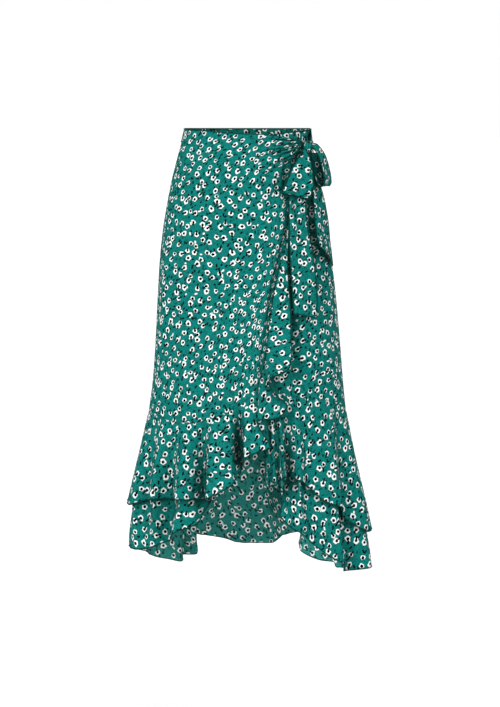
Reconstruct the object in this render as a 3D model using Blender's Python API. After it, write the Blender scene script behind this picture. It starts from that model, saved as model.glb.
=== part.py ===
"""Wrap skirt with a two-tier flounce, a cascading edge ruffle and a tied side bow.

Every cut-and-sewn piece is a thin cloth wall of its own. The skirt hangs open, as it is worn:
the origin is the centre of the waist opening, +Z is up and the front faces -Y.
A place on the cloth is an angle round the waist (0 is the front, 90 is +X, the bow's side),
a drop below the waist and a distance out from the general figure. Lengths are in millimetres.
"""

import math
from bisect import bisect_right
from collections import namedtuple

import bmesh
import bpy
import numpy as np
from mathutils import Matrix, Vector

MM = 0.001
WALL = 1.2
PANEL_EDGE = 0.4
FLOUNCE_EDGE = 0.15
CASCADE_EDGE = 0.3
SEAM_ANGLE = 0.1
LAYER_STEP = 1.9
OVERLAP_OUT = 3.2
OVERLAP_RISE_ANGLE = 30
MM_PER_DEGREE = 2.2
ROW_STEP = 0.02
JOIN_ROWS = 0.015
EDGE = 0.001
LEFT_SIDE = -90.0

CLOTH_GREEN = (0.012, 0.155, 0.138, 1.0)
CLOTH_ROUGHNESS = 0.82

# Half widths of the figure below the waist.
Section = namedtuple("Section", "drop left right front back")
FIGURE = (
    Section(0, 124, 123.5, 92, 92),
    Section(24, 130, 127, 95, 96),
    Section(64, 141, 135, 101, 106),
    Section(104, 151, 141.5, 106, 118),
    Section(144, 159, 147, 109, 126),
    Section(204, 169, 157, 112, 133),
    Section(264, 175, 166, 115, 136),
    Section(344, 180, 175, 119, 139),
    Section(424, 184, 182, 124, 142),
    Section(504, 190, 189, 130, 146),
    Section(564, 198, 196, 135, 150),
    Section(650, 205, 204, 140, 156),
    Section(744, 213, 214, 145, 163),
    Section(800, 218, 219, 148, 167),
    Section(920, 228, 229, 155, 176),
)

# A flounce has a row for each crest or valley: where it leaves the seam, and its free edge.
Fold = namedtuple("Fold", "seam_angle seam_drop angle out drop")
Hem = namedtuple("Hem", "angle out drop")
Edge = namedtuple("Edge", "seam_angle seam_drop")

OVERLAP_FOLDS = (
    Fold(-90.0, 563, -90.0, 26, 740),
    Fold(-78.0, 563, -74.0, 29, 745),
    Fold(-66.0, 564, -66.0, 10, 732),
    Fold(-54.0, 569, -54.0, 20, 727),
    Fold(-45.5, 572, -47.0, 3, 725),
    Fold(-35.0, 573, -34.5, 20, 720),
    Fold(-25.5, 568, -25.8, -6, 724),
    Fold(-19.5, 561, -18.0, 22, 712),
    Fold(-11.0, 549, -7.5, 20, 687),
    Fold(-5.3, 539, -3.5, -10, 664),
)
OVERLAP_LOW_HEM = (
    Hem(-90.0, 18, 834),
    Hem(-70.0, 21, 833),
    Hem(-62.0, 12, 829),
    Hem(-55.0, 6, 822),
    Hem(-50.0, -8, 811),
    Hem(-37.0, 15, 787),
    Hem(-27.5, 0, 768),
    Hem(-24.0, 3, 735),
)
OVERLAP_LOW_SHARE = 25 / 36

CASCADE_FOLDS = (
    Fold(-0.8, 527, -1.5, 9, 637),
    Fold(3.0, 513, 6.0, 12, 623),
    Fold(5.6, 501, 11.8, 14, 617),
    Fold(6.1, 497, 11.6, 19, 611),
    Fold(6.5, 493, 5.2, 22, 569),
    Fold(6.9, 489, 5.2, 27, 562),
    Fold(7.8, 482, 14.5, 29, 558),
    Fold(8.4, 475, 21.2, 31, 541),
    Fold(8.8, 470, 21.2, 36, 533),
    Fold(9.1, 465, 14.5, 38, 513),
    Fold(9.5, 460, 10.6, 39, 487),
    Fold(9.9, 454, 10.6, 44, 478),
    Fold(10.5, 445, 21.0, 38, 461),
    Fold(11.2, 428, 23.6, 28, 427),
    Fold(13.0, 390, 24.9, 18, 389),
    Fold(15.6, 340, 26.2, 11, 335),
    Fold(20.9, 274, 27.4, 8, 283),
    Fold(25.9, 235, 28.8, 6, 238),
    Fold(29.5, 187, 30.6, 4.6, 187),
)
WRAP_EDGE_TOP = (
    Edge(32.9, 138),
    Edge(37.3, 100),
    Edge(44.8, 66),
    Edge(50.5, 46),
)

UNDERLAP_FOLDS = (
    Fold(90.0, 560, 90.0, 30, 799),
    Fold(79.0, 553, 79.0, 25, 802),
    Fold(66.0, 540, 66.0, 0, 768),
    Fold(54.0, 533, 51.0, 13, 741),
    Fold(45.0, 528, 43.0, 10, 728),
    Fold(36.0, 525, 35.0, 4, 699),
    Fold(29.0, 522, 29.0, 9, 684),
    Fold(23.5, 519, 24.0, -3, 676),
    Fold(18.0, 515, 19.0, 5, 680),
    Fold(13.4, 510, 14.5, 13, 691),
    Fold(9.5, 503, 10.0, 6, 701),
    Fold(6.5, 497, 14.0, -6, 640),
    Fold(2.5, 483, 4.0, -16, 588),
    Fold(-3.0, 456, -3.0, -12, 545),
    Fold(-7.5, 413, -9.5, -5, 470),
    Fold(-12.0, 356, -15.0, 0, 392),
    Fold(-18.4, 264, -20.0, 0, 272),
)
UNDERLAP_LOW_HEM = (
    Hem(90.0, 20, 877),
    Hem(78.0, 22, 881),
    Hem(66.5, -4, 860),
    Hem(48.5, 13, 835),
    Hem(42.0, 11, 821),
    Hem(36.5, 5, 800),
    Hem(29.0, 9, 788),
    Hem(21.8, 13, 773),
    Hem(16.4, 9, 752),
)
UNDERLAP_LOW_SHARE = 0.5
UNDERLAP_EDGE_TOP = (
    Edge(-24.2, 196),
    Edge(-32.0, 129),
    Edge(-43.4, 61),
    Edge(-58.2, 14),
)

BACK_FOLDS = (
    Fold(90, 560, 90, 30, 799),
    Fold(101, 562, 101, 6, 790),
    Fold(112, 564, 113, 24, 784),
    Fold(127, 567, 127, 2, 778),
    Fold(140, 570, 141, -8, 770),
    Fold(151, 572, 152, 18, 768),
    Fold(160, 573, 160, 4, 770),
    Fold(170, 574, 170, 20, 772),
    Fold(181, 574, 181, 11, 772),
    Fold(192, 574, 192, 20, 768),
    Fold(202, 573, 203, 6, 764),
    Fold(208, 572, 209, 14, 762),
    Fold(215, 571, 215, -8, 760),
    Fold(220, 570, 219.5, 2, 759),
    Fold(226, 569, 225, -5, 757),
    Fold(238, 567, 238, 14, 752),
    Fold(249, 565, 249, 2, 748),
    Fold(259, 564, 259, 18, 744),
    Fold(270, 563, 270, 26, 740),
)
BACK_LOW_HEM = (
    Hem(90, 20, 877),
    Hem(101, 4, 890),
    Hem(114, 14, 903),
    Hem(127, -4, 892),
    Hem(143.5, -26, 868),
    Hem(153, 8, 838),
    Hem(160.5, 1, 842),
    Hem(170, 15, 865),
    Hem(182, 16, 865),
    Hem(193, 13, 853),
    Hem(204, 8, 843),
    Hem(209.5, 4, 840),
    Hem(213.5, -29, 874),
    Hem(218, -14, 880),
    Hem(224, -23, 888),
    Hem(236, 8, 876),
    Hem(248, 6, 860),
    Hem(259, 16, 848),
    Hem(270, 18, 834),
)

# The bow: strips of the tie, each row across the strip from its left to its right edge.
Across = namedtuple("Across", "left right drop slant out_left out_right")
FRONT_LOOP = (
    Across(47.9, 50.7, 40, 0, 16, 16),
    Across(39.5, 50.0, 58, 0, 24, 24),
    Across(31.5, 49.5, 85, 1, 29, 29),
    Across(27.0, 48.5, 110, 6, 30, 30),
    Across(24.6, 45.5, 124, 11, 28, 28),
    Across(24.2, 44.0, 128, 12, 23, 23),
    Across(25.2, 44.5, 122, 10, 18, 18),
    Across(29.0, 46.5, 100, 4, 15.5, 15.5),
    Across(38.0, 50.0, 66, 0, 15, 15),
    Across(50.5, 54.0, 47.4, 0, 14.5, 14.5),
)
SIDE_LOOP = (
    Across(59.6, 62.0, 36, 0, 14, 14),
    Across(59.8, 66.0, 48, 0, 25, 22),
    Across(59.5, 73.0, 68, 0, 31, 25),
    Across(60.0, 80.0, 92, 0, 33, 25),
    Across(60.5, 82.0, 107, 0, 30, 22),
    Across(60.5, 82.0, 113, 0, 23, 16),
    Across(60.5, 81.0, 107, 0, 16, 12),
    Across(60.0, 76.0, 88, 0, 13, 11),
    Across(60.0, 68.0, 62, 0, 12, 11),
    Across(59.8, 62.5, 45, 0, 12, 12),
)
FRONT_TAIL = (
    Across(52.0, 55.0, 47.5, 0, 11, 11),
    Across(39.0, 51.0, 74, 0, 10, 10),
    Across(33.5, 48.5, 108, 0, 10, 10),
    Across(31.0, 48.0, 142, 0, 10, 10),
    Across(27.7, 46.2, 189, 0, 12, 12),
    Across(26.8, 46.6, 240, 0, 13, 14),
    Across(26.5, 46.2, 300, 0, 15, 15),
    Across(26.4, 43.5, 358, 10, 18, 17),
)
SIDE_TAIL = (
    Across(56.3, 58.3, 45.3, 0, 8.5, 8.5),
    Across(56.5, 66.0, 76, 0, 6, 6),
    Across(56.5, 72.0, 106, 0, 6, 5),
    Across(55.0, 75.5, 142, 0, 8, 5),
    Across(50.8, 78.0, 189, 0, 11, 5),
    Across(49.6, 79.0, 225, 0, 13, 5),
    Across(48.8, 78.5, 256, 14, 15, 5),
)
PLEAT_HEIGHT = 1.6

BACK_ROWS_POWER = 1.4

TIE_START_ANGLE = 266.0
TIE_START_OUT = 1.9
TIE_TOP = 1.0
TIE_WIDTH = 25
TIE_OUT = 2.4
TIE_TURN_ANGLE = 84.0
TIE_END_ANGLE = 59.8
TIE_END_DROP = 24
TIE_END_WIDTH = 17
TIE_END_OUT = 11

KNOT_ANGLE = 55.0
KNOT_DROP = 35.0
KNOT_OUT = 14.0
KNOT_SIZE = (19.0, 15.0, 23.0)

# The gathers of the overlap fan out from its narrow end at the knot.
GATHERED_END_ANGLE = 51.5
GATHERED_END_DROPS = (20, 44.5)
GATHER_FOLDS = 6
GATHER_HEIGHT = 3.6
GATHER_SHARE = 6 / 11
GATHER_REACH = 0.6
GATHER_PINCH = 0.25
GATHER_PINCH_REACH = 0.2

# A panel's lines of cloth start down its side seam for this share, and then along its hem seam,
# and meet the wrap edge near the row of the corner. The gathered ones start in the upper part.
OVERLAP_SIDE_SHARE = 7 / 11
UNDERLAP_SIDE_SHARE = 0.4
GATHERS_TO_SIDE = 0.6
OVERLAP_CORNER = 12.5
UNDERLAP_CORNER = 11.5
CORNER_ROWS = 0.3

# Folds of the cascade swing out before they fall: powers of the share of the way to the hem.
HANG_ROWS = 3.0
HANG_SWING = 0.85
HANG_RISE = 0.6
HANG_FALL = 1.15

# How far the top edge of each front panel lies below the waist, by angle.
OVERLAP_WAIST = ((-90, 0), (-45, 4), (-25, 7), (-4, 10), (12, 11.5), (23, 14), (35, 18), (51.5, 23))
UNDERLAP_WAIST = ((-58.2, 14), (0, 15), (15, 14), (40, 7), (90, 1.5))


def curve(places, values, flat_ends=False):
    """A smooth curve through the values that never swings past one of them."""
    steps = [b - a for a, b in zip(places, places[1:])]
    slopes = [(b - a) / step for a, b, step in zip(values, values[1:], steps)]
    tangents = [0.0 if flat_ends else slopes[0]]
    for before, after in zip(slopes, slopes[1:]):
        tangents.append(2 * before * after / (before + after) if before * after > 0 else 0.0)
    tangents.append(0.0 if flat_ends else slopes[-1])

    def value(place):
        place = min(max(place, places[0]), places[-1])
        i = min(bisect_right(places, place), len(steps)) - 1
        t = (place - places[i]) / steps[i]
        ends = values[i] * (1 + 2 * t) * (1 - t) ** 2 + values[i + 1] * t * t * (3 - 2 * t)
        return ends + steps[i] * (tangents[i] * t * (1 - t) ** 2 - tangents[i + 1] * t * t * (1 - t))

    return value


def columns(rows, names, flat=()):
    """Columns of a table, each as a smooth curve over the number of the row."""
    numbers = range(len(rows))
    return {n: curve(numbers, [getattr(row, n) for row in rows], n in flat) for n in names}


def blend(a, b, share):
    return a + (b - a) * share


def ease(share):
    share = min(max(share, 0.0), 1.0)
    return share * share * (3 - 2 * share)


FIGURE_DROPS = [section.drop for section in FIGURE]
HALF = {
    side: curve(FIGURE_DROPS, [getattr(section, side) for section in FIGURE])
    for side in ("left", "right", "front", "back")
}


def on_figure(angle, drop, out):
    """The point at this angle and drop, out millimetres off the figure."""
    across, ahead = math.sin(math.radians(angle)), math.cos(math.radians(angle))
    width = HALF["right" if across >= 0 else "left"](drop) + out
    depth = HALF["front" if ahead >= 0 else "back"](drop) + out
    return Vector((width * across, -depth * ahead, -drop)) * MM


def overlap_rise(angle):
    """The overlap leaves the side seam in line with the back and rises over the underlap."""
    return OVERLAP_OUT * ease((angle - LEFT_SIDE) / OVERLAP_RISE_ANGLE)


def no_rise(_angle):
    return 0.0


class Seam:
    """The line where a panel meets its flounces, over the rows of their table."""

    def __init__(self, rows, rise=no_rise):
        lines = columns(rows, ("seam_angle", "seam_drop"))
        self.angle, self.drop = lines["seam_angle"], lines["seam_drop"]
        self.last = len(rows) - 1
        self.rise = rise
        self.rows = np.arange(0, self.last + ROW_STEP / 2, ROW_STEP)
        runs = np.diff([self.angle(row) * MM_PER_DEGREE for row in self.rows])
        falls = np.diff([self.drop(row) for row in self.rows])
        self.lengths = np.concatenate([[0.0], np.cumsum(np.hypot(runs, falls))])

    def row_between(self, first, last, share):
        """The row at this share of the seam's length from the first row to the last."""
        ends = np.interp((first, last), self.rows, self.lengths)
        return float(np.interp(blend(*ends, share), self.lengths, self.rows))

    def at(self, row, up=0.0):
        """Angle and drop on the seam at this row, or this far from it on the panel's side."""
        before, after = max(row - ROW_STEP, 0), min(row + ROW_STEP, self.last)
        run = (self.angle(after) - self.angle(before)) * MM_PER_DEGREE
        fall = self.drop(after) - self.drop(before)
        share = up * math.copysign(1, self.angle(self.last) - self.angle(0)) / math.hypot(run, fall)
        return self.angle(row) + share * fall / MM_PER_DEGREE, self.drop(row) - share * run

    def between_ends(self, angle):
        """The angle, kept half a seam's gap clear of the side seams."""
        low, high = sorted((self.angle(0), self.angle(self.last)))
        return min(max(angle, low + SEAM_ANGLE), high - SEAM_ANGLE)


def panel(seam, waist, corner, side_share, gathers=False):
    """A front panel, as lines of cloth from its side and hem seams (w = 0) to its wrap edge (w = 1)."""
    waist_line = curve([angle for angle, _ in waist], [drop for _, drop in waist])
    side_angle, side_drop = seam.at(0, PANEL_EDGE)
    side_angle -= math.copysign(SEAM_ANGLE, side_angle)
    gathered = GATHER_SHARE if gathers else 0.0
    down_side = curve((0, gathered, side_share), (0, GATHERS_TO_SIDE, 1)) if gathers else None

    def outer_end(u):
        if u < side_share:
            share = down_side(u) if gathers else u / side_share
            return side_angle, blend(waist_line(side_angle), side_drop, share)
        row = seam.row_between(0, corner - CORNER_ROWS, (u - side_share) / (1 - side_share))
        angle, drop = seam.at(row, PANEL_EDGE)
        return math.copysign(min(abs(angle), abs(side_angle)), angle), drop

    def wrap_end(u):
        if u < gathered:
            return GATHERED_END_ANGLE, blend(*GATHERED_END_DROPS, u / gathered)
        down = (u - gathered) / (1 - gathered)
        return seam.at(seam.row_between(seam.last, corner + CORNER_ROWS, down), PANEL_EDGE)

    def place(u, w):
        (from_angle, from_drop), (to_angle, to_drop) = outer_end(u), wrap_end(u)
        angle, drop = blend(from_angle, to_angle, w), blend(from_drop, to_drop, w)
        straight = blend(outer_end(0)[1], wrap_end(0)[1], w)
        drop += (1 - u) ** 4 * (waist_line(blend(side_angle, wrap_end(0)[0], w)) - straight)
        out = seam.rise(angle)
        if u < gathered:
            wave = 0.5 - 0.5 * math.cos(2 * math.pi * GATHER_FOLDS * u / gathered)
            pinch = blend(1.0, GATHER_PINCH, ease(1 - (1 - w) / GATHER_PINCH_REACH))
            out += GATHER_HEIGHT * wave * pinch * ease(1 - (1 - w) / GATHER_REACH)
        return on_figure(angle, drop, out)

    return place


def flounce(seam, folds, first, last, low_hem=None, hang_from=None, edge=FLOUNCE_EDGE):
    """A flounce from its seam (v = 0) to its hem (v = 1) and on to a lower hem (v = 2).

    From the row hang_from on, the folds swing out from the seam at once and then hang down.
    """
    hem = columns(folds, ("angle", "out", "drop"), flat=("out",))
    low = columns(low_hem, ("angle", "out", "drop"), flat=("out",)) if low_hem else None

    def place(u, v):
        row = blend(first, last, u)
        seam_angle, seam_drop = seam.at(row, -edge)
        here = (hem["angle"](row), hem["out"](row), hem["drop"](row))
        if v > 1:
            there = (low["angle"](row), low["out"](row), low["drop"](row))
            angle, out, drop = (blend(a, b, v - 1) for a, b in zip(here, there))
        else:
            hang = 0.0 if hang_from is None else ease((row - hang_from) / HANG_ROWS)
            angle = blend(seam_angle, here[0], v ** blend(1.0, HANG_SWING, hang))
            out = blend(seam.rise(seam_angle), here[1], v ** blend(1.0, HANG_RISE, hang))
            drop = blend(seam_drop, here[2], v ** blend(1.0, HANG_FALL, hang))
        return on_figure(seam.between_ends(angle), drop, out)

    return place


def back_panel(seam):
    """The back between the side seams, its rows closer together near the waist."""
    def place(u, v):
        angle, drop = seam.at(u * seam.last, PANEL_EDGE)
        return on_figure(seam.between_ends(angle), drop * v ** BACK_ROWS_POWER, 0.0)

    return place


def strip(rows, pleats=1.5):
    """A strip of the tie, from its first row (u = 0) to its last, and across from left to right."""
    line = columns(rows, Across._fields)

    def place(u, v):
        row = {name: value(u * (len(rows) - 1)) for name, value in line.items()}
        fold = PLEAT_HEIGHT * math.sin(2 * math.pi * pleats * v) * math.sin(math.pi * u) ** 2
        out = blend(row["out_left"], row["out_right"], v) + fold
        return on_figure(blend(row["left"], row["right"], v), row["drop"] + row["slant"] * v, out)

    return place


def material(name, color):
    made = bpy.data.materials.new(name)
    made.use_nodes = True
    shader = made.node_tree.nodes["Principled BSDF"]
    shader.inputs["Base Color"].default_value = color
    shader.inputs["Roughness"].default_value = CLOTH_ROUGHNESS
    shader.inputs["Metallic"].default_value = 0.0
    made.diffuse_color = color
    return made


def add_piece(name, shape, color):
    """Makes the bmesh an object of its own, with its own material."""
    mesh = bpy.data.meshes.new(name)
    shape.to_mesh(mesh)
    shape.free()
    mesh.shade_smooth()
    mesh.materials.append(material(name + "_cloth", color))
    piece = bpy.data.objects.new(name, mesh)
    bpy.context.scene.collection.objects.link(piece)
    return piece


def wall_direction(vert, u, v, square):
    """Out of the cloth at this vertex, but square to the seam at its top (v = 0) and its ends."""
    outward = Vector((vert.co.x, vert.co.y, 0)).normalized()
    if "top" in square and v < EDGE:
        return outward
    if "ends" in square and not EDGE < u < 1 - EDGE:
        along = Vector((-outward.y, outward.x, 0))
        return (vert.normal - along * vert.normal.dot(along)).normalized()
    return vert.normal.copy()


def cloth(name, place, across, down, reach=1.0, lift=0.0, square=("top", "ends")):
    """A grid laid through place(u, v), moved off itself by lift, and extruded to its wall."""
    sheet = bmesh.new()
    out = sheet.verts.layers.float_vector.new("out")
    bmesh.ops.create_grid(sheet, x_segments=across, y_segments=down, size=0.5)
    spots = {vert: (vert.co.x + 0.5, (vert.co.y + 0.5) * reach) for vert in sheet.verts}
    for vert, (u, v) in spots.items():
        vert.co = place(u, v)
    sheet.normal_update()
    facing_out = sum(face.normal.xy.dot(face.calc_center_median().xy) for face in sheet.faces)
    if facing_out < 0:
        bmesh.ops.reverse_faces(sheet, faces=sheet.faces)
        sheet.normal_update()
    for vert, (u, v) in spots.items():
        vert[out] = wall_direction(vert, u, v, square)
    for vert in sheet.verts:
        vert.co += vert[out] * (lift + WALL / 2) * MM
    made = bmesh.ops.extrude_face_region(sheet, geom=sheet.faces[:], use_keep_orig=True)
    for vert in made["geom"]:
        if isinstance(vert, bmesh.types.BMVert):
            vert.co -= vert[out] * WALL * MM
    bmesh.ops.recalc_face_normals(sheet, faces=sheet.faces)
    return add_piece(name, sheet, CLOTH_GREEN)


def make_knot():
    ball = bmesh.new()
    bmesh.ops.create_uvsphere(ball, u_segments=16, v_segments=10, radius=0.5)
    bmesh.ops.scale(ball, vec=Vector(KNOT_SIZE) * MM, verts=ball.verts)
    turn = Matrix.Rotation(math.radians(KNOT_ANGLE), 3, "Z")
    bmesh.ops.rotate(ball, matrix=turn, verts=ball.verts)
    bmesh.ops.translate(ball, vec=on_figure(KNOT_ANGLE, KNOT_DROP, KNOT_OUT), verts=ball.verts)
    add_piece("knot", ball, CLOTH_GREEN)


def tie_band(u, v):
    """The tie, out of the left side seam and round the back to the knot."""
    angle = blend(TIE_START_ANGLE, TIE_END_ANGLE, u)
    near_knot = ease((TIE_TURN_ANGLE - angle) / (TIE_TURN_ANGLE - TIE_END_ANGLE))
    top = blend(TIE_TOP, TIE_END_DROP, near_knot)
    width = blend(TIE_WIDTH, TIE_END_WIDTH, near_knot)
    round_back = blend(TIE_START_OUT, TIE_OUT, ease((TIE_START_ANGLE - angle) / TIE_TURN_ANGLE))
    return on_figure(angle, top + width * v, blend(round_back, TIE_END_OUT, near_knot))


def main():
    for thing in list(bpy.data.objects):
        bpy.data.objects.remove(thing)

    overlap_folds = OVERLAP_FOLDS + CASCADE_FOLDS
    valley = len(OVERLAP_FOLDS) - 1
    front_end = valley - JOIN_ROWS
    cascade_end = len(overlap_folds) - 1
    underlap_end = len(UNDERLAP_FOLDS) - 1
    overlap = Seam(overlap_folds + WRAP_EDGE_TOP, overlap_rise)
    underlap = Seam(UNDERLAP_FOLDS + UNDERLAP_EDGE_TOP)
    back = Seam(BACK_FOLDS)

    cloth("overlap_panel", panel(overlap, OVERLAP_WAIST, OVERLAP_CORNER, OVERLAP_SIDE_SHARE, True), 44, 12)
    cloth("underlap_panel", panel(underlap, UNDERLAP_WAIST, UNDERLAP_CORNER, UNDERLAP_SIDE_SHARE), 32, 9)
    cloth("back_panel", back_panel(back), 24, 10)

    front = flounce(overlap, overlap_folds, 0, front_end)
    cloth("overlap_flounce", front, 36, 4)
    front_low = flounce(overlap, overlap_folds, 0, front_end * OVERLAP_LOW_SHARE, OVERLAP_LOW_HEM)
    cloth("overlap_low_flounce", front_low, 25, 8, reach=2.0, lift=-LAYER_STEP)
    cascade_start = valley + JOIN_ROWS
    cascade = flounce(overlap, overlap_folds, cascade_start, cascade_end, None, valley, CASCADE_EDGE)
    cloth("cascade_ruffle", cascade, 72, 7, square=("ends",))

    inner = flounce(underlap, UNDERLAP_FOLDS, 0, underlap_end)
    cloth("underlap_flounce", inner, 64, 4)
    inner_low = flounce(underlap, UNDERLAP_FOLDS, 0, underlap_end * UNDERLAP_LOW_SHARE, UNDERLAP_LOW_HEM)
    cloth("underlap_low_flounce", inner_low, 32, 8, reach=2.0, lift=-LAYER_STEP)

    cloth("back_flounce", flounce(back, BACK_FOLDS, 0, back.last), 60, 4)
    back_low = flounce(back, BACK_FOLDS, 0, back.last, BACK_LOW_HEM)
    cloth("back_low_flounce", back_low, 60, 8, reach=2.0, lift=-LAYER_STEP)

    cloth("tie_band", tie_band, 36, 2)
    make_knot()
    cloth("bow_front_loop", strip(FRONT_LOOP), 26, 6, square=())
    cloth("bow_side_loop", strip(SIDE_LOOP), 26, 6, square=())
    cloth("tie_front_tail", strip(FRONT_TAIL), 12, 6, square=())
    cloth("tie_side_tail", strip(SIDE_TAIL), 10, 6, square=())


main()
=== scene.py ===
# %% [markdown]
# # A wrap skirt with a two-tier flounce and a tied side bow
# The real skirt is cut from thin printed crepe: three panels, six strips of flounce, a ruffle down
# the wrap edge, and a long tie that is knotted into a bow at the hip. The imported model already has
# every one of these pieces as a thin wall, so the first step loads it. Everything made here is
# in its frame: metres, +Z up, the front facing -Y, the origin in the middle of the waist.

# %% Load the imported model
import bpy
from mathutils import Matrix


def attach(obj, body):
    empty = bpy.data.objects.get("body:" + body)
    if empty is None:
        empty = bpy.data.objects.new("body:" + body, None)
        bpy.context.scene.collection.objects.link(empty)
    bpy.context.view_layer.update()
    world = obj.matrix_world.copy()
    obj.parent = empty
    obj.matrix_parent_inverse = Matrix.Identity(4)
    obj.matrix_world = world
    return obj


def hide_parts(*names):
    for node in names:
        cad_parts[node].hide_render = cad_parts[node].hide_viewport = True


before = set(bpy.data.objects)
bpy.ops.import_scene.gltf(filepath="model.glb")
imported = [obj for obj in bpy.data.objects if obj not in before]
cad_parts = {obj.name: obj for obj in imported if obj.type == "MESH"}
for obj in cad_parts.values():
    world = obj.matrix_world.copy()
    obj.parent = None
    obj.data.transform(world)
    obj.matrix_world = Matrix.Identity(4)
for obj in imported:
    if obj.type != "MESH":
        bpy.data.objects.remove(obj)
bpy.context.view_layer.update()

# %% The modules that the lesson uses
import math
from collections import namedtuple

import bmesh
import bpy
import numpy as np
from mathutils import Matrix, Vector

# %% [markdown]
# ## Camera
# A skirt that is sold online is shown from the front, from about waist height, through a long
# lens that hardly changes its proportions. A camera 4.5 m away with a long focal length gives
# that view. It looks slightly down, so the inside of the back shows above the dipped waist.

# %% Make the camera
CAMERA_PLACE = (0.005, -4.5, 0.0033)
CAMERA_TILT = math.radians(84.2768)
CAMERA_LENS = 115.14
SENSOR_HEIGHT = 36


def add_object(name, data):
    """An object of this camera, lamp or mesh, put in the scene."""
    made = bpy.data.objects.new(name, data)
    bpy.context.scene.collection.objects.link(made)
    return made


camera_data = bpy.data.cameras.new("camera")
camera_data.sensor_fit = "VERTICAL"
camera_data.sensor_height = SENSOR_HEIGHT
camera_data.lens = CAMERA_LENS
camera = add_object("camera", camera_data)
camera.location = CAMERA_PLACE
camera.rotation_euler = (CAMERA_TILT, 0, 0)
bpy.context.scene.camera = camera
print("camera", -CAMERA_PLACE[1], "m in front of the waist")

# %% [markdown]
# ## Floor and light
# The skirt hangs as it would on a wearer, so the floor lies about a metre below the waist. The
# light is that of a product studio: a soft key light from the front left, a low front light that
# reaches the inside of the back, softer ones from both sides and from behind, and a dim surround,
# so that folds show as lighter and darker green. The floor glows for the camera alone, so it
# looks as white as a lit sweep, but throws little light back up, which would fill the folds.

# %% Short calls that build a material
class Paint:
    """Adds nodes to one material, and links them to each other."""

    def __init__(self, name):
        self.material = bpy.data.materials.new(name)
        self.material.use_nodes = True
        self.tree = self.material.node_tree
        self.surface = self.tree.nodes["Principled BSDF"]

    def plug(self, node, inputs):
        """Sets each of these inputs of a node, or links a node's output to it."""
        for socket, value in (inputs.items() if isinstance(inputs, dict) else enumerate(inputs)):
            if isinstance(value, bpy.types.NodeSocket):
                self.tree.links.new(value, node.inputs[socket])
            elif value is not None:
                node.inputs[socket].default_value = value
        return node

    def add(self, kind, inputs=(), **settings):
        node = self.tree.nodes.new("ShaderNode" + kind)
        for name, value in settings.items():
            setattr(node, name, value)
        return self.plug(node, inputs)

    def math(self, operation, *values, clamp=False):
        return self.add("Math", values, operation=operation, use_clamp=clamp).outputs[0]

    def times(self, a, b):
        return self.math("MULTIPLY", a, b)

    def line(self, value, slope, start, clamp=False):
        """The value times the slope, plus the start."""
        return self.math("MULTIPLY_ADD", value, slope, start, clamp=clamp)

    def vector(self, operation, *values):
        return self.add("VectorMath", values, operation=operation).outputs[0]

    def scaled(self, vector, factor):
        return self.vector("SCALE", vector, None, None, factor)

    def length(self, vector):
        return self.add("VectorMath", [vector], operation="LENGTH").outputs["Value"]

    def noise(self, place, scale, detail):
        return self.add("TexNoise", {"Vector": place, "Scale": scale, "Detail": detail}).outputs

    def within(self, edge, distance, soft=0.3):
        """1 inside the edge and 0 outside, with a soft rim of this many millimetres."""
        gap = self.math("SUBTRACT", edge, distance)
        return self.line(gap, 1 / soft, 0.5, clamp=True)

    def mix(self, share, a, b):
        """One colour blended into another. Sockets 6, 7 and 2 are the node's colours."""
        return self.add("Mix", {0: share, 6: a, 7: b}, data_type="RGBA").outputs[2]


# %% Lay the floor
FLOOR_HALF_WIDTH = 200
FLOOR_DROP = 1.08
FLOOR_GLOW = 0.77
FLOOR_TONE = 0.4
FLOOR_ROUGHNESS = 0.9
WHITE = (1, 1, 1, 1)


def meshed(name, shape):
    """A mesh of this bmesh, which is freed."""
    mesh = bpy.data.meshes.new(name)
    shape.to_mesh(mesh)
    shape.free()
    return mesh


floor_shape = bmesh.new()
bmesh.ops.create_grid(floor_shape, x_segments=1, y_segments=1, size=FLOOR_HALF_WIDTH)
bmesh.ops.translate(floor_shape, vec=(0, 0, -FLOOR_DROP), verts=floor_shape.verts)
floor = add_object("floor", meshed("floor", floor_shape))
floor_paint = Paint("floor_paint")
seen = floor_paint.add("LightPath").outputs["Is Camera Ray"]
floor_paint.plug(floor_paint.surface, {
    "Base Color": (FLOOR_TONE, FLOOR_TONE, FLOOR_TONE, 1),
    "Roughness": FLOOR_ROUGHNESS,
    "Emission Color": WHITE,
    "Emission Strength": floor_paint.times(seen, FLOOR_GLOW),
})
floor.data.materials.append(floor_paint.material)
print("the floor is", FLOOR_DROP, "m below the waist")

# %% Light the studio
Lamp = namedtuple("Lamp", "name place softness power")
LAMPS = (
    Lamp("key_light", (-0.55, -1.0, 0.44), 24, 1.72),
    Lamp("front_light", (0.05, -1.0, 0.02), 14, 1.78),
    Lamp("left_light", (-1.0, -0.15, 0.15), 40, 0.95),
    Lamp("right_light", (1.35, -0.8, 0.3), 50, 1.2),
    Lamp("back_light", (0.4, 1.0, 0.7), 50, 1.6),
)
SURROUND = 0.14

for lamp in LAMPS:
    data = bpy.data.lights.new(lamp.name, "SUN")
    data.angle, data.energy = math.radians(lamp.softness), lamp.power
    light = add_object(lamp.name, data)
    light.location = lamp.place
    light.rotation_euler = (-Vector(lamp.place)).to_track_quat("-Z", "Y").to_euler()
world = bpy.data.worlds.new("studio")
world.use_nodes = True
sky = world.node_tree.nodes["Background"]
sky.inputs["Color"].default_value = WHITE
seen = world.node_tree.nodes.new("ShaderNodeLightPath")
glow = world.node_tree.nodes.new("ShaderNodeMath")
glow.operation = "MAXIMUM"
glow.inputs[1].default_value = SURROUND
world.node_tree.links.new(seen.outputs["Is Camera Ray"], glow.inputs[0])
world.node_tree.links.new(glow.outputs[0], sky.inputs["Strength"])
bpy.context.scene.world = world
bpy.context.scene.view_settings.view_transform = "Standard"
print(len(LAMPS), "lights and a surround of", SURROUND)

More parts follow.
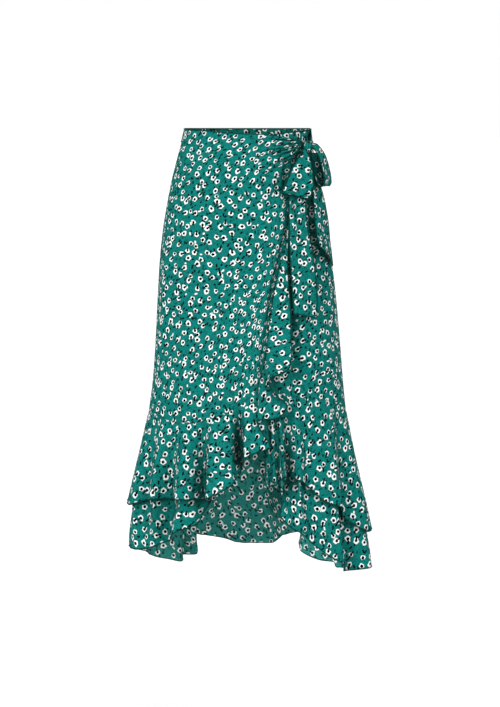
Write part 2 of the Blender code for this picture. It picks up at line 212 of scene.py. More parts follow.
# %% [markdown]
# ## The figure that the skirt is worn on
# Nobody is in the skirt, yet it keeps its worn form. A place on the cloth is written as an angle
# round the waist (0 is the front, 90 the side of the bow), a drop below the waist and a distance
# out from a plain figure. The figure is a table of half widths, with smooth curves through them
# that never swing past a value, so no cloth bulges where the real one lies flat.

# %% Sizes of the figure, in millimetres
MM = 0.001
MM_PER_DEGREE = 2.2


def table(text):
    """Rows of numbers. The first line of the text names their columns."""
    names, *lines = text.strip().splitlines()
    Row = namedtuple("Row", names)
    return tuple(Row(*map(float, line.split())) for line in lines)


FIGURE = table("""
drop left right front back
0 124 123.5 92 92
24 130 127 95 96
64 141 135 101 106
104 151 141.5 106 118
144 159 148 109 126
204 169 158.5 112 133
264 175 167.5 115 136
344 180 177.5 119 139
424 184 185 124 142
504 190 191.5 130 146
564 198 197.5 135 150
650 205 204 140 156
744 213 214 145 163
800 218 219 148 167
920 228 229 155 176
""")

# %% Smooth curves through a table
def curve(places, values, flat_ends=False):
    """A smooth curve through the values that never swings past one of them."""
    places, values = np.asarray(places, float), np.asarray(values, float)
    steps = np.diff(places)
    slopes = np.diff(values) / steps
    tangents = np.zeros(len(values))
    if not flat_ends:
        tangents[0], tangents[-1] = slopes[0], slopes[-1]
    before, after = slopes[:-1], slopes[1:]
    alike = before * after > 0
    tangents[1:-1][alike] = (2 * before * after)[alike] / (before + after)[alike]

    def value(place):
        place = np.clip(place, places[0], places[-1])
        i = np.clip(np.searchsorted(places, place, side="right") - 1, 0, len(steps) - 1)
        t = (place - places[i]) / steps[i]
        ends = values[i] * (1 + 2 * t) * (1 - t) ** 2 + values[i + 1] * t * t * (3 - 2 * t)
        leaving, coming = tangents[i] * t * (1 - t) ** 2, tangents[i + 1] * t * t * (1 - t)
        return ends + steps[i] * (leaving - coming)

    return value


def columns(rows, names, flat=()):
    """Columns of a table, each as a smooth curve over the number of the row."""
    numbers = range(len(rows))
    return {n: curve(numbers, [getattr(row, n) for row in rows], n in flat) for n in names}


def blend(a, b, share):
    return a + (b - a) * share


def ease(share):
    share = np.clip(share, 0.0, 1.0)
    return share * share * (3 - 2 * share)


# %% From an angle, a drop and a distance out to a point
FIGURE_DROPS = [section.drop for section in FIGURE]
HALF = {
    side: curve(FIGURE_DROPS, [getattr(section, side) for section in FIGURE])
    for side in ("left", "right", "front", "back")
}


def on_figure(angle, drop, out):
    """Points at these angles and drops, out millimetres off the figure, in metres."""
    across, ahead = np.sin(np.radians(angle)), np.cos(np.radians(angle))
    width = np.where(across >= 0, HALF["right"](drop), HALF["left"](drop)) + out
    depth = np.where(ahead >= 0, HALF["front"](drop), HALF["back"](drop)) + out
    return np.stack([width * across, -depth * ahead, -drop + 0 * across], axis=-1) * MM


waist_ring = on_figure(np.linspace(0, 360, 361), np.zeros(361), 0.0)
girth = np.linalg.norm(np.diff(waist_ring, axis=0), axis=-1).sum() / MM
print(f"the waist is {FIGURE[0].left + FIGURE[0].right} mm wide and {girth:.0f} mm round")

# %% [markdown]
# ## Seams, panels and flounces
# Each panel is sewn to its flounce along one curved seam, so both are worked out from the same
# table: a row for every crest and valley of the flounce, with where it leaves the seam and where
# its free edge hangs. The upper flounce runs from the seam to its hem (v from 0 to 1), and the
# lower one hangs inside it from the same seam and goes on further down (v up to 2).

# %% Tables of the overlap, the front that lies on top
OVERLAP_FOLDS = table("""
seam_angle seam_drop angle out drop
-90 563 -90 26 740
-78 563 -74 29 745
-66 564 -66 10 732
-54 569 -54 20 727
-45.5 572 -47 3 725
-35 573 -34.5 20 720
-25.5 568 -25.8 -6 724
-19.5 561 -18 22 712
-11 549 -7.5 20 687
-5.3 539 -3.5 -10 664
""")
OVERLAP_LOW_HEM = table("""
angle out drop
-90 18 834
-70 21 833
-62 12 829
-55 6 822
-50 -8 811
-37 15 787
-27.5 0 768
-24 3 735
""")
OVERLAP_LOW_SHARE = 25 / 36
CASCADE_FOLDS = table("""
seam_angle seam_drop angle out drop
-0.8 527 -1.5 20 637
3 513 6 23 623
5.6 501 11.8 18 617
6.1 497 11.6 19 611
6.5 493 5.2 22 569
6.9 489 5.2 27 562
7.8 482 14.5 29 558
8.4 475 19.3 31 541
8.8 470 19.5 36 533
9.1 465 14.5 38 513
9.5 460 10.6 39 487
9.9 454 10.6 44 478
10.5 445 21 38 461
11.2 428 23.6 28 427
13 390 24.9 18 389
15.6 340 26.2 11 335
20.9 274 26.2 8 283
25.9 235 27.7 6 238
29.5 187 30.2 4.6 187
""")
WRAP_EDGE_TOP = table("""
seam_angle seam_drop
32.9 138
37.3 100
44.8 66
50.5 46
""")

# %% Tables of the underlap, the front that lies beneath
UNDERLAP_FOLDS = table("""
seam_angle seam_drop angle out drop
90 560 90 30 799
79 553 79 25 802
66 540 66 0 768
54 533 53 13 742
45 528 43 10 728
36 525 35 4 699
29 522 28 10 684
23.5 519 23.4 -6 677
18 515 19.6 10 681
15.7 512.5 17.6 3 682
13.4 510 14.2 11 691
11.4 506.5 12.4 6 693
9.5 503 10.2 9 698
8 500 10.9 3 690
6.5 497 12.4 -8 655
2.5 483 4 -16 588
-3 456 -3 -12 545
-7.5 413 -9.5 -5 470
-12 356 -15 0 392
-18.4 264 -20 0 272
""")
UNDERLAP_LOW_HEM = table("""
angle out drop
90 22 871
78 24 874
67 -4 878
51 13 852
42 11 832
36.5 5 814
29 9 790
21.8 13 773
16.4 9 752
""")
UNDERLAP_LOW_SHARE = 8 / 19
UNDERLAP_EDGE_TOP = table("""
seam_angle seam_drop
-24.2 196
-32 129
-43.4 61
-58.2 14
""")

# %% Tables of the back
BACK_FOLDS = table("""
seam_angle seam_drop angle out drop
90 560 90 30 799
101 562 101 6 790
112 564 113 24 784
127 567 127 2 778
130 568 130.5 -3 776
135 569 135.5 -6 773
140 570 141 -8 770
151 572 152 18 768
160 573 160 4 770
170 574 170 20 772
181 574 181 11 772
192 574 192 20 768
202 573 203 6 764
208 572 209 14 762
215 571 216 -9 760
220 570 219.5 2 759
226 569 225 -5 757
238 567 238 14 752
249 565 249 2 748
259 564 259 18 744
270 563 270 26 740
""")
BACK_LOW_HEM = table("""
angle out drop
90 22 871
101 4 885
114 14 901
125.6 3 901
127.4 -3 890
133.5 -14 888
143.5 -26 869
153 8 838
159.5 1 842
168.5 15 865
182 16 865
193 13 853
204 8 843
209.5 4 840
214.5 -28 874
219 -12 880
225 -22 888
236 8 876
248 6 860
259 16 848
270 18 834
""")

# %% A seam, over the rows of its table
ROW_STEP = 0.02
LEFT_SIDE = -90.0
OVERLAP_OUT = 3.2
OVERLAP_RISE_ANGLE = 30


def overlap_rise(angle):
    """The overlap leaves the side seam in line with the back and rises over the underlap."""
    return OVERLAP_OUT * ease((angle - LEFT_SIDE) / OVERLAP_RISE_ANGLE)


def no_rise(angle):
    return 0.0 * angle


class Seam:
    """The line where a panel meets its flounces, over the rows of their table."""

    def __init__(self, rows, rise=no_rise):
        lines = columns(rows, ("seam_angle", "seam_drop"))
        self.angle, self.drop = lines["seam_angle"], lines["seam_drop"]
        self.last = len(rows) - 1
        self.rise = rise
        self.rows = np.arange(0, self.last + ROW_STEP / 2, ROW_STEP)
        runs = np.diff(self.angle(self.rows) * MM_PER_DEGREE)
        falls = np.diff(self.drop(self.rows))
        self.lengths = np.concatenate([[0.0], np.cumsum(np.hypot(runs, falls))])

    def row_between(self, first, last, share):
        """The row at this share of the seam's length from the first row to the last."""
        ends = np.interp((first, last), self.rows, self.lengths)
        return np.interp(blend(*ends, share), self.lengths, self.rows)

    def at(self, row, up=0.0):
        """Angle and drop on the seam at this row, or this far from it on the panel's side."""
        before, after = np.clip(row - ROW_STEP, 0, None), np.clip(row + ROW_STEP, None, self.last)
        run = (self.angle(after) - self.angle(before)) * MM_PER_DEGREE
        fall = self.drop(after) - self.drop(before)
        share = up * np.sign(self.angle(self.last) - self.angle(0)) / np.hypot(run, fall)
        return self.angle(row) + share * fall / MM_PER_DEGREE, self.drop(row) - share * run

    def between_ends(self, angle):
        return np.clip(angle, *sorted((self.angle(0), self.angle(self.last))))


overlap_folds = OVERLAP_FOLDS + CASCADE_FOLDS
overlap_seam = Seam(overlap_folds + WRAP_EDGE_TOP, overlap_rise)
underlap_seam = Seam(UNDERLAP_FOLDS + UNDERLAP_EDGE_TOP)
back_seam = Seam(BACK_FOLDS)
print("seams in mm:", [round(s.lengths[-1]) for s in (overlap_seam, underlap_seam, back_seam)])

# %% [markdown]
# ## Creases
# Light crepe shows soft drag lines where it is pulled, and shallow troughs where it hangs. They
# could be simulated, but then they would fall anywhere. Here each crease is a row of a table
# with its own place, length, lean, width and height (less than 0 is a trough), on every side.
# Deep narrow troughs make the dark lines beside the tails and along the wrap's seam. Where the
# overlap has one, the underlap has one beneath it, so that the two layers don't meet.

# %% The creases of the panels
OVERLAP_CREASES = table("""
angle drop length lean width height
-18 62 150 82 9 1.6
-2 92 150 68 10 -1.8
8 110 130 58 9 1.8
14 140 130 46 9 -1.7
20 168 120 32 8 1.6
31 96 110 5 4.5 -2.8
35.5 90 90 3 4.5 2.2
26 112 120 14 5.5 2
21 126 120 22 5 -2.2
-40 120 120 74 14 -1.4
-24 150 140 62 13 1.3
-8 210 150 42 12 -1.3
2 300 190 22 13 1.5
-14 350 170 24 16 -1.5
-34 300 180 12 18 1.2
-52 260 210 6 17 -1.3
-66 330 220 2 18 1.4
-78 300 260 -2 15 -1.3
-44 460 170 4 14 1.8
-26 500 130 2 11 -3.2
-15 480 160 4 14 2.6
-5 490 130 4 10 -4.2
19.6 274 150 12.2 4 -8
11.2 400 150 6.3 4 -7
""")
UNDERLAP_CREASES = table("""
angle drop length lean width height
44 200 210 -4 14 1.4
52 300 220 -6 15 -1.5
64 260 230 -3 14 1.3
74 340 240 -2 16 -1.2
83 220 230 0 12 1.2
29.5 300 430 2 7 -9.5
39 410 260 -3 10 2.6
36 380 190 -6 13 -1.4
58 450 140 -2 15 1.6
56 180 200 0 6.5 -14
61 268 76 0 18 -12
19.6 274 160 12.2 5.5 -8.5
11.2 400 160 6.3 5.5 -7.5
31.5 400 150 2 8 -9
""")
BACK_CREASES = table("""
angle drop length lean width height
104 240 230 4 16 1.4
118 360 240 -3 17 -1.5
133 200 190 8 14 1.3
146 400 240 2 16 1.7
158 230 210 -6 15 -1.4
171 420 220 3 15 1.6
184 170 160 -10 14 -1.2
197 380 240 2 16 -1.6
211 250 220 7 15 1.4
226 410 230 -2 17 1.7
240 220 220 -7 14 -1.3
255 350 240 3 16 1.3
""")
CREASE_BEND = 0.06


def creased(angle, drop, creases):
    """How far soft ridges and troughs move the cloth out, in mm, at these places."""
    out = np.zeros(np.shape(angle))
    for crease in creases:
        lean = math.radians(crease.lean)
        run, fall = (angle - crease.angle) * MM_PER_DEGREE, drop - crease.drop
        along = fall * math.cos(lean) - run * math.sin(lean)
        aside = run * math.cos(lean) + fall * math.sin(lean)
        bend = CREASE_BEND * crease.length * (along / crease.length) ** 2
        side = (aside - bend) / crease.width
        out += crease.height * np.exp(-side * side) * np.exp(-((2 * along / crease.length) ** 4))
    return out


print(len(OVERLAP_CREASES + UNDERLAP_CREASES + BACK_CREASES), "creases on the panels")

# %% A panel, as lines of cloth
GATHERED_END_ANGLE = 51.5
GATHERED_END_DROPS = (20, 44.5)
GATHER_FOLDS = 8
GATHER_HEIGHT = 6.2
GATHER_SHARE = 6 / 11
GATHER_REACH = 0.5
GATHER_PINCH = 0.4
GATHER_PINCH_REACH = 0.12
GATHER_SWAY = 0.03
GATHER_SWAY_WAVES = 4.7
GATHER_ROUNDNESS = 0.6
GATHER_FADE = 1.5
LAST_GATHER_FADE = 6
OVERLAP_SIDE_SHARE = 7 / 11
UNDERLAP_SIDE_SHARE = 0.4
GATHERS_TO_SIDE = 0.47
OVERLAP_CORNER = 12.5
UNDERLAP_CORNER = 14.5
CORNER_ROWS = 0.3
WAIST_FADE = 4
OVERLAP_WAIST = (
    (-90, 0), (-45, 4), (-25, 7), (-4, 10), (12, 11.5), (23, 14), (35, 18), (51.5, 23)
)
UNDERLAP_WAIST = ((-58.2, 14), (0, 15), (15, 14), (40, 7), (90, 1.5))


def panel(seam, waist, corner, side_share, creases, gathers=False):
    """A front panel, as lines from its side and hem seams (w = 0) to its wrap edge (w = 1)."""
    waist_line = curve([angle for angle, _ in waist], [drop for _, drop in waist])
    side_angle, side_drop = (float(value) for value in seam.at(0))
    gathered = GATHER_SHARE if gathers else 0.0
    down_side = curve((0, gathered, side_share), (0, GATHERS_TO_SIDE, 1)) if gathers else None

    def outer_end(u):
        share = down_side(u) if gathers else u / side_share
        row = seam.row_between(0, corner - CORNER_ROWS, (u - side_share) / (1 - side_share))
        angle, drop = seam.at(row)
        on_side = u < side_share
        side = blend(waist_line(side_angle), side_drop, np.clip(share, 0, 1))
        angle = np.where(on_side, side_angle, seam.between_ends(angle))
        return angle, np.where(on_side, side, drop)

    def wrap_end(u):
        down = np.clip((u - gathered) / (1 - gathered), 0, 1)
        angle, drop = seam.at(seam.row_between(seam.last, corner + CORNER_ROWS, down))
        if not gathers:
            return angle, drop
        knotted = blend(*GATHERED_END_DROPS, np.clip(u / gathered, 0, 1))
        angle = np.where(u < gathered, GATHERED_END_ANGLE, angle)
        return angle, np.where(u < gathered, knotted, drop)

    def place(u, w):
        (from_angle, from_drop), (to_angle, to_drop) = outer_end(u), wrap_end(u)
        angle, drop = blend(from_angle, to_angle, w), blend(from_drop, to_drop, w)
        top_angle, top_drop = wrap_end(0 * u)
        straight = blend(outer_end(0 * u)[1], top_drop, w)
        at_waist = waist_line(blend(side_angle, top_angle, w))
        drop = drop + (1 - u) ** WAIST_FADE * (at_waist - straight)
        out = seam.rise(angle) + creased(angle, drop, creases)
        if gathers:
            share = np.clip(u / gathered, 0, 1)
            uneven = share + GATHER_SWAY * np.sin(GATHER_SWAY_WAVES * np.pi * share)
            wave = np.abs(np.sin(np.pi * GATHER_FOLDS * uneven)) ** GATHER_ROUNDNESS
            pinch = blend(1.0, GATHER_PINCH, ease(1 - (1 - w) / GATHER_PINCH_REACH))
            fade = ease(1 - (1 - w) / GATHER_REACH) ** GATHER_FADE
            folds = GATHER_HEIGHT * wave * pinch * fade
            out = out + np.where(u < gathered, folds * ease(LAST_GATHER_FADE * (1 - share)), 0)
        return angle, drop, out

    return place


# %% A flounce, and the back panel
FOLD_GAIN = 0.9
FOLD_REACH = 0.6
HANG_ROWS = 3.0
HANG_SWING = 0.85
HANG_RISE = 0.6
HANG_FALL = 1.15
BACK_ROWS_POWER = 1.4


def deepening(folds):
    """How much further out a crest goes, or a valley in, than the mean of its neighbours."""
    outs = np.array([fold.out for fold in folds], float)
    beyond = np.zeros(len(outs))
    beyond[1:-1] = outs[1:-1] / 2 - outs[:-2] / 4 - outs[2:] / 4
    return curve(range(len(outs)), FOLD_GAIN * beyond, True)


def flounce(seam, folds, first, last, low_hem=None, hang_from=None):
    """A flounce from its seam (v = 0) to its hem (v = 1) and on to a lower hem (v = 2)."""
    hem = columns(folds, ("angle", "out", "drop"), flat=("out",))
    low = columns(low_hem, ("angle", "out", "drop"), flat=("out",)) if low_hem else hem
    deeper, low_deeper = deepening(folds), deepening(low_hem or folds)

    def place(u, v):
        row = blend(first, last, u)
        seam_angle, seam_drop = seam.at(row)
        hang = 0.0 * row if hang_from is None else ease((row - hang_from) / HANG_ROWS)
        upper, lower = np.clip(v, 0, 1), np.clip(v - 1, 0, 1)
        angle = blend(seam_angle, hem["angle"](row), upper ** blend(1.0, HANG_SWING, hang))
        out = blend(seam.rise(seam_angle), hem["out"](row), upper ** blend(1.0, HANG_RISE, hang))
        out = out + (1 - hang) * deeper(row) * upper ** FOLD_REACH
        drop = blend(seam_drop, hem["drop"](row), upper ** blend(1.0, HANG_FALL, hang))
        angle, out, drop = (
            blend(value, low[name](row), lower)
            for name, value in (("angle", angle), ("out", out), ("drop", drop))
        )
        out = out + (1 - hang) * low_deeper(row) * lower
        return seam.between_ends(angle), drop, out

    return place


def back_panel(u, v):
    """The back between the side seams, its rows closer together near the waist."""
    angle, drop = back_seam.at(u * back_seam.last)
    drop = drop * v ** BACK_ROWS_POWER
    return back_seam.between_ends(angle), drop, creased(angle, drop, BACK_CREASES)


# %% [markdown]
# ## Laying cloth on the form
# A piece of cloth is a flat grid whose vertices are moved to their places on the form. The print
# has to lie on the cloth as it did before sewing, so each grid is also unrolled, strip by strip,
# into the flat shape that it was cut from, wider where gathers draw it in. That flat shape is the
# UV map, in metres.
#
# A free edge has a narrow rolled hem, oversewn with thread, which shows as a dark line. A bevel
# would follow the wall and look flat, so the hem is a thin tube of its own along the edge.

# %% Unroll a grid into its flat cut
TINY = 1e-12
MERGE_DISTANCE = 1e-6


def unrolled(points, gather_start=1.0, gather_end=1.0):
    """Flat places, in metres, for a lattice of points whose lines run down each column."""
    steps = np.linalg.norm(np.diff(points, axis=0), axis=-1)
    down = np.concatenate([np.zeros((1, points.shape[1])), np.cumsum(steps, axis=0)])
    start_line = points[1] - points[0]
    end_line = points[-1] - points[-2]
    place, turn = np.zeros(2), 0.0
    flat = np.zeros(points.shape[:2] + (2,))
    for i in range(points.shape[1]):
        ahead = np.array([math.sin(turn), math.cos(turn)])
        flat[:, i] = place + down[:, i, None] * ahead
        if i + 1 == points.shape[1]:
            break
        sides = []
        for line, row, gather in ((start_line, 0, gather_start), (end_line, -1, gather_end)):
            step = points[row, i + 1] - points[row, i]
            along = line[i] / max(np.linalg.norm(line[i]), TINY)
            slide = step @ along
            wide = math.sqrt(max(step @ step - slide * slide, 0.0)) * gather
            sides.append(np.array([wide, slide]))
        length, next_length = down[-1, i], down[-1, i + 1]
        across = np.array([ahead[1], -ahead[0]])
        near, far = sides[0], sides[1] + (0, length)
        lean = math.atan2(far[0] - near[0], far[1] - near[1])
        place = place + near[0] * across + near[1] * ahead
        if next_length > MERGE_DISTANCE:
            turn += lean
    return flat


# %% Make a piece of cloth
CLOTH_THICKNESS = 0.6 * MM


def normals_of(points):
    """The direction out of the cloth at each point of a lattice."""
    along = np.gradient(points, axis=1)
    down = np.gradient(points, axis=0)
    direction = np.cross(along, down)
    direction /= np.maximum(np.linalg.norm(direction, axis=-1, keepdims=True), TINY)
    facing = (direction[..., :2] * points[..., :2]).sum()
    return direction if facing > 0 else -direction


def laid_grid(name, points, flat):
    """A mesh grid moved to the lattice of points, with its flat cut as UV map."""
    rows, cols = points.shape[0] - 1, points.shape[1] - 1
    sheet = bmesh.new()
    bmesh.ops.create_grid(sheet, x_segments=cols, y_segments=rows, size=0.5)
    mesh = meshed(name, sheet)
    spots = np.empty(len(mesh.vertices) * 3)
    mesh.vertices.foreach_get("co", spots)
    spots = spots.reshape(-1, 3)
    column = np.rint((spots[:, 0] + 0.5) * cols).astype(int)
    row = np.rint((spots[:, 1] + 0.5) * rows).astype(int)
    mesh.vertices.foreach_set("co", points[row, column].ravel())
    corner = np.empty(len(mesh.loops), int)
    mesh.loops.foreach_get("vertex_index", corner)
    cut = mesh.uv_layers.new(name="cut")
    cut.uv.foreach_set("vector", flat[row[corner], column[corner]].ravel())
    mesh.update()
    return mesh


def add_piece(name, mesh, materials):
    """A smooth object of this mesh that rides on the skirt."""
    mesh.shade_smooth()
    for material in materials:
        mesh.materials.append(material)
    piece = add_object(name, mesh)
    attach(piece, "root")
    return piece


def lay_cloth(name, points, flat, materials):
    """A piece of cloth with a thin wall, its face outwards and its reverse inwards."""
    mesh = laid_grid(name, points, flat)
    facing = sum(p.normal.x * p.center.x + p.normal.y * p.center.y for p in mesh.polygons)
    if facing < 0:
        mesh.flip_normals()
    piece = add_piece(name, mesh, materials)
    wall = piece.modifiers.new("wall", "SOLIDIFY")
    wall.thickness = CLOTH_THICKNESS
    wall.offset = -1
    wall.material_offset = len(materials) - 1
    wall.material_offset_rim = 0
    return piece


# %% Roll a free edge
HEM_RADIUS = 1.15 * MM
HEM_SIDES = 6


def roll_edge(name, points, edge, material):
    """A narrow rolled hem along one edge of a lattice, a closed tube of cloth."""
    line = points[edge]
    ahead = np.gradient(line, axis=0)
    ahead /= np.maximum(np.linalg.norm(ahead, axis=-1, keepdims=True), TINY)
    out = normals_of(points)[edge]
    aside = np.cross(ahead, out)
    turns = np.linspace(0, 2 * np.pi, HEM_SIDES + 1)[:, None, None]
    tube = line + HEM_RADIUS * (np.cos(turns) * out + np.sin(turns) * aside)
    tube[-1] = tube[0]
    lengths = np.concatenate([[0.0], np.cumsum(np.linalg.norm(np.diff(line, axis=0), axis=-1))])
    round_it = HEM_RADIUS * turns[..., 0]
    flat = np.stack([lengths + 0 * round_it, round_it + 0 * lengths], axis=-1)
    mesh = laid_grid(name, tube, flat)
    rolled = bmesh.new()
    rolled.from_mesh(mesh)
    bmesh.ops.remove_doubles(rolled, verts=rolled.verts, dist=MERGE_DISTANCE)
    bmesh.ops.holes_fill(rolled, edges=[e for e in rolled.edges if e.is_boundary], sides=0)
    bmesh.ops.recalc_face_normals(rolled, faces=rolled.faces)
    rolled.to_mesh(mesh)
    rolled.free()
    return add_piece(name, mesh, [material])


def declare(points):
    """Measures the lengths of a lattice's first and last lines and its area, and uses none of them.
    The declaration takes no area under 0.3 of width times depth. A piece that fills less of that
    rectangle is declared with the least area, and both areas are printed.
    """
    edges = [np.linalg.norm(np.diff(points[i], axis=0), axis=-1).sum() for i in (0, -1)]
    a, b = points[1:, 1:] - points[:-1, :-1], points[1:, :-1] - points[:-1, 1:]
    measured = np.linalg.norm(np.cross(a, b), axis=-1).sum() / 2


# %% [markdown]
# ## The printed crepe
# The cloth is a fine crepe, printed with small white flowers with black eyes on blue-green. The
# flowers are never twice the same, so a pattern of cells suits them: each cell of a Voronoi
# texture holds one flower, turned, sized and notched by the cell's own random colour. A second,
# finer pattern scatters dashes and buds between them. It reads the flat cut, so it bends and
# disappears into the folds as real print does.
#
# Three sets of colours share these nodes. The first is the face. The second is the reverse, where
# the print shows through paler, and which is also painted lighter to stand in for light that shines
# through the thin cloth. The third is a darker copy, painted shade, for the insides that lie in
# shade.
# Deep narrow folds of real crepe look nearly black. Light alone leaves them too pale here, so
# ambient occlusion finds the hollows and their shade is painted into the colour there. The ground's
# mottle is partly a random tone and partly painted shade, darker where the crinkle is low.

# %% The cells of a pattern
MM_PER_METRE = 1000
CELL_TURN = math.radians(33)
MARK_LEAN = math.radians(55) + CELL_TURN
MARK_SPREAD = math.radians(95)


def cells(paint, cut, cell_size, randomness):
    """Where each point lies in its cell, in mm, and six random numbers of that cell."""
    turned = paint.add("VectorRotate", {"Vector": cut, "Angle": CELL_TURN}, rotation_type="Z_AXIS")
    spot = paint.scaled(turned.outputs[0], MM_PER_METRE / cell_size)
    grid = {"Vector": spot, "Scale": 1.0, "Randomness": randomness}
    cell = paint.add("TexVoronoi", grid, voronoi_dimensions="2D")
    middle = cell.outputs["Position"]
    away = paint.scaled(paint.vector("SUBTRACT", spot, middle), cell_size)
    noise = paint.add("TexWhiteNoise", {"Vector": middle}, noise_dimensions="2D")
    chances = [*paint.add("SeparateColor", [cell.outputs["Color"]]).outputs,
               *paint.add("SeparateColor", [noise.outputs["Color"]]).outputs]
    return away, chances


def leaning(paint, away, chance, flip):
    """The same place, turned so that x runs along the mark, which mostly leans to the right."""
    lean = paint.line(chance, -MARK_SPREAD, MARK_SPREAD / 2 - MARK_LEAN)
    lean = paint.line(paint.math("GREATER_THAN", flip, 0.5), math.pi, lean)
    turned = paint.add("VectorRotate", {"Vector": away, "Angle": lean}, rotation_type="Z_AXIS")
    return paint.add("SeparateXYZ", [turned.outputs[0]]).outputs[:2]


def rounded_dash(paint, x, y, start, end, half_width):
    """A dash along x from start to end, with round ends."""
    nearest = paint.math("MINIMUM", paint.math("MAXIMUM", x, start), end)
    off = paint.add("CombineXYZ", [paint.math("SUBTRACT", x, nearest), y]).outputs[0]
    return paint.within(half_width, paint.length(off))


# %% One flower of the print
FLOWER_CELL = 19.6
FLOWER_RANDOMNESS = 0.62
FLOWER_RADIUS = 5.08
SMALLEST_FLOWER = 0.80
FLOWER_GROWTH = 0.36
PETAL_WAVES = ((5.0, 0.08), (2.0, -0.10), (3.0, 0.07), (1.0, -0.06))
PETAL_SOFTNESS = 0.5
EYE_RADIUS = 2.75
EYE_RADIUS_RANGE = 0.5
EYE_OFF = 0.5
EYE_HALF_LENGTH = 0.3
DASH_HALF_WIDTH = 1.7
SHORTEST_DASH = 4.5
DASH_GROWTH = 4.5
DASHED_SHARE = 0.48
NOTCHED_SHARE = 0.5
NOTCH_SPREAD = 0.5
NOTCH_SOFTNESS = 0.6


def flowers(paint, cut):
    """Masks of the petals and of their black marks, and the distance beyond the petals."""
    away, chances = cells(paint, cut, FLOWER_CELL, FLOWER_RANDOMNESS)
    turn, size, dashed, wave, notched, flip = chances
    x, y = leaning(paint, away, turn, flip)
    bearing, distance = paint.math("ARCTAN2", y, x), paint.length(away)
    outline = 1.0
    for lobes, depth in PETAL_WAVES:
        phase = paint.line(bearing, lobes, paint.times(wave, lobes * lobes))
        outline = paint.line(paint.math("COSINE", phase), depth, outline)
    radius = paint.line(size, FLOWER_GROWTH * FLOWER_RADIUS, SMALLEST_FLOWER * FLOWER_RADIUS)
    radius = paint.times(radius, outline)
    petals = paint.within(radius, distance, PETAL_SOFTNESS)
    has_dash = paint.math("LESS_THAN", dashed, DASHED_SHARE)
    has_notch = paint.math("LESS_THAN", notched, NOTCHED_SHARE)
    wedge = paint.line(x, NOTCH_SPREAD, NOTCH_SPREAD)
    notch = paint.within(wedge, paint.math("ABSOLUTE", y), NOTCH_SOFTNESS)
    notch = paint.times(paint.times(notch, has_notch), has_dash)
    petals = paint.times(petals, paint.math("SUBTRACT", 1.0, notch))
    reach = paint.times(paint.line(wave, DASH_GROWTH, SHORTEST_DASH), has_dash)
    dash = rounded_dash(paint, x, y, EYE_OFF, paint.math("ADD", reach, EYE_OFF), DASH_HALF_WIDTH)
    eye_size = paint.line(flip, EYE_RADIUS_RANGE, EYE_RADIUS - EYE_RADIUS_RANGE / 2)
    ends = EYE_OFF - EYE_HALF_LENGTH, EYE_OFF + EYE_HALF_LENGTH
    eye = rounded_dash(paint, x, y, *ends, eye_size)
    return petals, paint.math("MAXIMUM", dash, eye), paint.math("SUBTRACT", distance, radius)


# %% The dashes and buds between the flowers
SCATTER_CELL = 10.2
SCATTER_RANDOMNESS = 0.85
SCATTER_HALF_WIDTH = 1.75
SHORTEST_HALF = 0.8
HALF_GROWTH = 1.8
CLEAR_OF_FLOWERS = 0.8
BUD_RADIUS = 1.6
FADED_SHARE = 0.3
FADED_STRENGTH = 0.55
SCATTERED_DASHES = 0.72
NO_BUDS_BELOW = 0.95


def scatter(paint, cut, beyond):
    """Masks of small white buds and of small black dashes, clear of the flowers."""
    away, chances = cells(paint, cut, SCATTER_CELL, SCATTER_RANDOMNESS)
    turn, size, kind, faded, _, flip = chances
    x, y = leaning(paint, away, turn, flip)
    half = paint.line(size, HALF_GROWTH, SHORTEST_HALF)
    back = paint.times(half, -1.0)
    clear = paint.math("GREATER_THAN", beyond, CLEAR_OF_FLOWERS)
    dashes = rounded_dash(paint, x, y, back, half, SCATTER_HALF_WIDTH)
    buds = rounded_dash(paint, x, y, back, half, BUD_RADIUS)
    strong = paint.math("GREATER_THAN", faded, FADED_SHARE)
    strength = paint.line(strong, 1 - FADED_STRENGTH, FADED_STRENGTH)
    dashes = paint.times(dashes, paint.math("LESS_THAN", kind, SCATTERED_DASHES))
    buds = paint.times(buds, paint.math("GREATER_THAN", kind, NO_BUDS_BELOW))
    dashes = paint.times(paint.times(dashes, clear), strength)
    return paint.times(buds, clear), dashes


# %% The face, the reverse and a shaded copy of the cloth, with painted shade and painted light
# Each set holds the cloth's ground, its darker mottle, petals and marks, then a painted shade colour
# for hollows and how strongly that shade is painted (depth).
DyeAndShade = namedtuple("DyeAndShade", "ground deep petal mark hollow depth")
FACE = DyeAndShade(
    ground=(0.002, 0.222, 0.195, 1),
    deep=(0.002, 0.118, 0.102, 1),
    petal=(0.90, 0.94, 0.92, 1),
    mark=(0.001, 0.003, 0.004, 1),
    hollow=(0.001, 0.018, 0.014, 1),
    depth=1.8,
)
# The reverse: the print shows through paler, and it is also painted lighter, with white petals,
# standing in for light that shines through the thin cloth.
REVERSE = DyeAndShade(
    ground=(0.032, 0.300, 0.258, 1),
    deep=(0.022, 0.200, 0.172, 1),
    petal=WHITE,
    mark=(0.010, 0.048, 0.044, 1),
    hollow=(0.004, 0.060, 0.050, 1),
    depth=0.3,
)
# A darker copy of the cloth, painted shade, for insides that lie in the skirt's own shade: the back
# panel's, the ruffle's and the bow's.
PAINTED_SHADE_COPY = DyeAndShade(
    ground=(0.003, 0.125, 0.106, 1),
    deep=(0.002, 0.080, 0.068, 1),
    petal=(0.62, 0.68, 0.66, 1),
    mark=(0.001, 0.004, 0.004, 1),
    hollow=(0.001, 0.020, 0.016, 1),
    depth=0.9,
)
CREPE_ROUGHNESS = 0.85
CREPE_GLOSS = 0.1
PRINT_WOBBLE = 0.0012
WOBBLE_SCALE = 260.0
CLOUD_SCALE = 90.0
CLOUD_SHADE = 1.8
GRAIN_SCALE = 330.0
GRAIN_SHADE = 4.0
SHADE_START = -2.35
CRINKLE_HEIGHT = 0.0011
GRAIN_CRINKLE = 0.3
